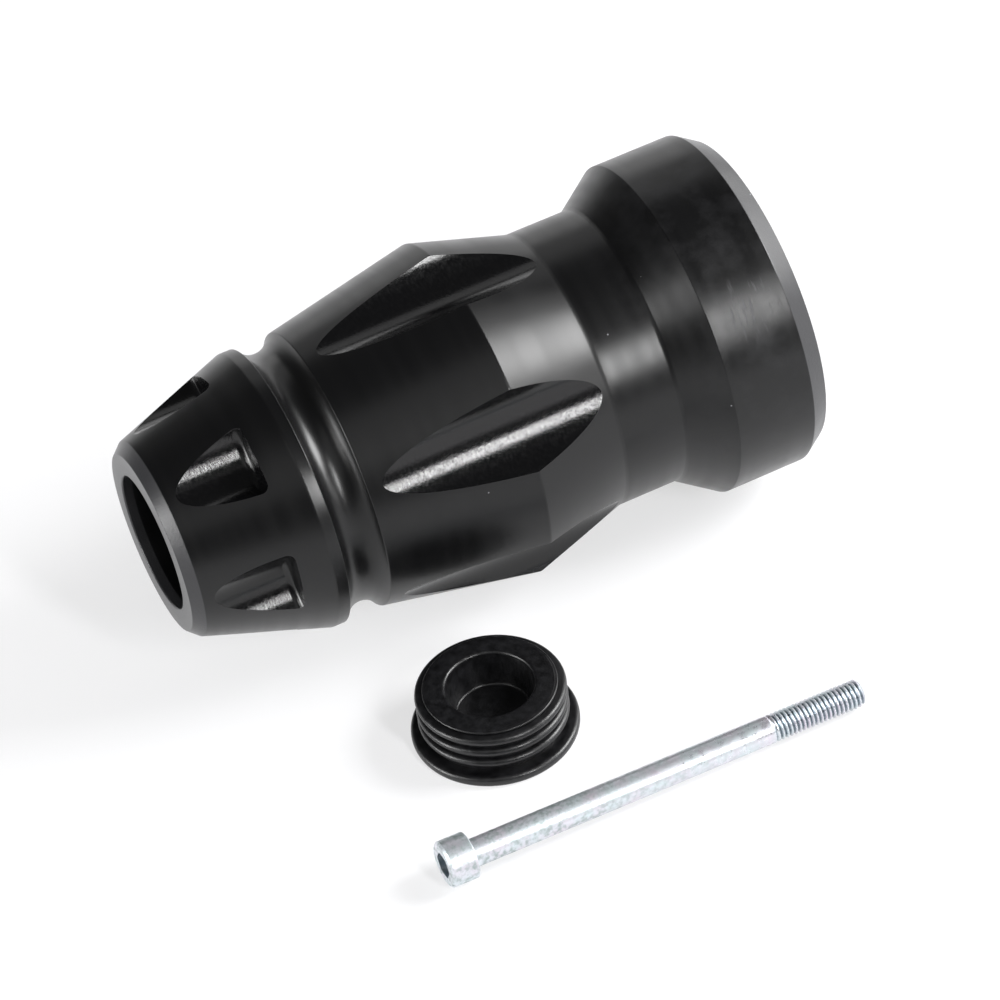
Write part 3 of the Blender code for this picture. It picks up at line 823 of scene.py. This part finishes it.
def makeBolt(plate):
    size = bolt
    shape, start, end = threadedRod()
    bmesh.ops.holes_fill(shape, edges=openRing(shape, end), sides=0)

    # back along the plain shank, round the fillet and over the head
    neck = size["headHeight"] + size["neckFillet"]
    ring = growRing(shape, openRing(shape, start), neck - start, 1.0)
    radius = size["radius"]
    before = 0.0
    for step in range(1, size["filletSteps"] + 1):
        angle = math.radians(90 * step / size["filletSteps"])
        shift = size["neckFillet"] * (math.sin(angle) - math.sin(before))
        wider = size["radius"] + size["neckFillet"] * (1 - math.cos(angle))
        ring = growRing(shape, ring, -shift, wider / radius)
        radius = wider
        before = angle
    inner = size["headRadius"] - size["headBreak"]
    ring = growRing(shape, ring, 0.0, inner / radius)
    ring = growRing(shape, ring, -size["headBreak"], size["headRadius"] / inner)
    ring = growRing(shape, ring, -(size["headHeight"] - size["headBreak"] - size["headChamfer"]), 1.0)
    topRadius = size["headRadius"] - size["headChamfer"]
    ring = growRing(shape, ring, -size["headChamfer"], topRadius / size["headRadius"])
    bmesh.ops.edgenet_fill(shape, edges=ring)
    bmesh.ops.recalc_face_normals(shape, faces=shape.faces)
    piece = keepMesh("socketBolt", shape)
    piece.data.materials.append(plate)

    tool = socketCutter()
    tool.data.materials.append(plate)
    carve(piece, tool)
    matrix = placed(size["place"], size["tiltDeg"], size["turnDeg"])
    finishPiece(piece, matrix, "socket_bolt", size["sharpDeg"])
    tell(f"bolt has {len(piece.data.polygons)} faces")


studio = {
    "floorRadius": 6.0,       # m
    "floorSides": 96,
    "floorColour": "#a4a4a6",
    "floorRoughness": 0.75,
    "floorGlow": 0.61,        # for the camera and for reflections only, so that the floor reaches white
    "horizonLevel": 0.45,
    "overheadLevel": 0.08,
    "horizonRange": (0.03, 0.16),   # between these heights, where 0 is level and 1 straight up
    "aim": (0.0, 0.0, 0.02),  # m, what every lamp points at
    "lamps": [
        # name, bearing from +Y and height in degrees; distance, width and depth in m;
        # brightness of its face, where 1 is white
        ("rightSoftbox", 104, 35, 1.5, 0.68, 0.66, 19.0),
        ("rightLow", 127, 16, 1.5, 0.90, 0.44, 3.0),
        ("rightFill", 76, 42, 1.5, 0.41, 0.44, 1.8),
        ("frontStrip", 165, 33, 1.5, 0.15, 0.52, 44.0),
        ("frontFill", 205, 52, 1.5, 0.90, 1.10, 0.6),
        ("backdropRight", 85, 12, 1.5, 0.83, 0.39, 6.5),
        ("backdropMiddle", 60, 12, 1.5, 0.60, 0.39, 3.4),
        ("backdropLeft", 20, 13, 1.5, 1.40, 0.44, 1.1),
        ("backFill", 20, 38, 1.5, 1.49, 0.50, 0.6),
        ("leftSoftbox", 271, 13, 1.5, 0.42, 0.60, 12.0),
        ("leftPanel", 277, 4, 0.5, 0.34, 0.10, 7.0),
        ("leftHigh", 253, 31, 1.5, 0.42, 0.40, 6.0),
    ],
}


def makeFloor():
    # A matt white laminate top: it shows no gloss, and keeps a soft shadow
    shape = bmesh.new()
    bmesh.ops.create_circle(
        shape, cap_ends=True, segments=studio["floorSides"], radius=studio["floorRadius"],
    )
    floor = keepMesh("floor", shape)
    made, tree, shader = newMaterial("paleTableTop")
    shader.inputs["Base Color"].default_value = linearColour(studio["floorColour"])
    shader.inputs["Roughness"].default_value = studio["floorRoughness"]
    glow = addNode(tree, "ShaderNodeEmission", {"Color": (1, 1, 1, 1)})
    rays = addNode(tree, "ShaderNodeLightPath")
    shine = addNode(tree, "ShaderNodeMath", {
        "operation": "MAXIMUM",
    }, {0: (rays, "Is Camera Ray"), 1: (rays, "Is Glossy Ray")})
    seen = addNode(tree, "ShaderNodeMath", {
        "operation": "MAXIMUM",
    }, {0: (shine, 0), 1: (rays, "Is Transmission Ray")})
    strength = addNode(tree, "ShaderNodeMath", {
        "operation": "MULTIPLY", 1: studio["floorGlow"],
    }, {0: (seen, 0)})
    tree.links.new(strength.outputs[0], glow.inputs["Strength"])
    both = addNode(tree, "ShaderNodeAddShader", None, {0: (shader, 0), 1: (glow, 0)})
    tree.links.new(both.outputs[0], tree.nodes["Material Output"].inputs["Surface"])
    floor.data.materials.append(made)
    tell("floor is laid")


def makeLight():
    # the room is pale grey at the horizon and dark overhead, for every ray
    world = bpy.data.worlds.new("studio")
    bpy.context.scene.world = world
    world.use_nodes = True
    tree = world.node_tree
    back = tree.nodes["Background"]
    back.inputs["Color"].default_value = (1, 1, 1, 1)
    coords = addNode(tree, "ShaderNodeTexCoord")
    split = addNode(tree, "ShaderNodeSeparateXYZ", None, {"Vector": (coords, "Object")})
    level = addNode(tree, "ShaderNodeMapRange", {
        "interpolation_type": "SMOOTHSTEP",
        "From Min": studio["horizonRange"][0], "From Max": studio["horizonRange"][1],
        "To Min": studio["horizonLevel"], "To Max": studio["overheadLevel"],
    }, {"Value": (split, "Z")})
    tree.links.new(level.outputs[0], back.inputs["Strength"])

    for name, bearing, height, distance, width, depth, brightness in studio["lamps"]:
        light = bpy.data.lights.new(name, "AREA")
        light.shape = "RECTANGLE"
        light.size = width
        light.size_y = depth
        light.energy = brightness * math.pi * width * depth   # W, for a face of that brightness
        lamp = bpy.data.objects.new(name, light)
        bpy.context.scene.collection.objects.link(lamp)
        turn = math.radians(bearing)
        rise = math.radians(height)
        way = Vector((math.sin(turn) * math.cos(rise), math.cos(turn) * math.cos(rise), math.sin(rise)))
        lamp.location = Vector(studio["aim"]) + way * distance
        lamp.rotation_mode = "QUATERNION"
        lamp.rotation_quaternion = (-way).to_track_quat("-Z", "Y")
    tell(f"studio has {len(studio['lamps'])} lamps")


cameraView = {
    "place": (-0.28869, -0.7921, 0.80795),   # m
    "turnDeg": (47.1682, 6.1014, -25.4579),
    "lens": 198.0,            # mm
    "sensor": 36.0,           # mm
    "clip": (0.05, 30.0),     # m
}


def makeCamera():
    data = bpy.data.cameras.new("camera")
    data.lens = cameraView["lens"]
    data.sensor_width = cameraView["sensor"]
    data.clip_start, data.clip_end = cameraView["clip"]
    camera = bpy.data.objects.new("camera", data)
    bpy.context.scene.collection.objects.link(camera)
    camera.location = cameraView["place"]
    camera.rotation_euler = [math.radians(angle) for angle in cameraView["turnDeg"]]
    bpy.context.scene.camera = camera
    tell("camera is set")


bpy.context.scene.view_settings.view_transform = "Standard"
tell(f"frame has {len(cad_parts)} CAD nodes")
makeSlider(makeTurnedAcetal(), makeMilledAcetal())
makePlug(makeMouldedRubber())
makeBolt(makeZincPlate())
makeFloor()
makeLight()
makeCamera()

bpy.context.view_layer.update()
tell("done")
